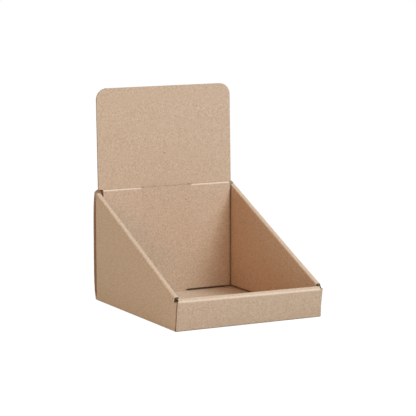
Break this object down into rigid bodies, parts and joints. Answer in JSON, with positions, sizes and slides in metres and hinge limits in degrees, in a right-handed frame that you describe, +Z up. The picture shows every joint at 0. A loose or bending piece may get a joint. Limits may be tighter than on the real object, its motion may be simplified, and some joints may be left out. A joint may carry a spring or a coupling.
{
  "type": "cardboard counter display stand",
  "caption": "Open counter tray folded from kraft corrugated board, low at the front with slanted sides and a tall back, and a plain header card plugged into the back wall.",
  "frame": {"origin": "on the table under the middle of the tray's floor", "axes": "+X to the right as seen from the front, +Y from the low front to the tall back, +Z up"},
  "size_m": [0.15, 0.1776, 0.2034],
  "materials": {
    "kraft_board": "uncoated brown kraft liner on fine-flute corrugated board, matte",
    "kraft_board_card": "uncoated brown kraft liner on fine-flute corrugated board, matte"
  },
  "bodies": {
    "root": {"tray": "kraft_board", "header_card": "kraft_board_card"}
  },
  "joints": []
}
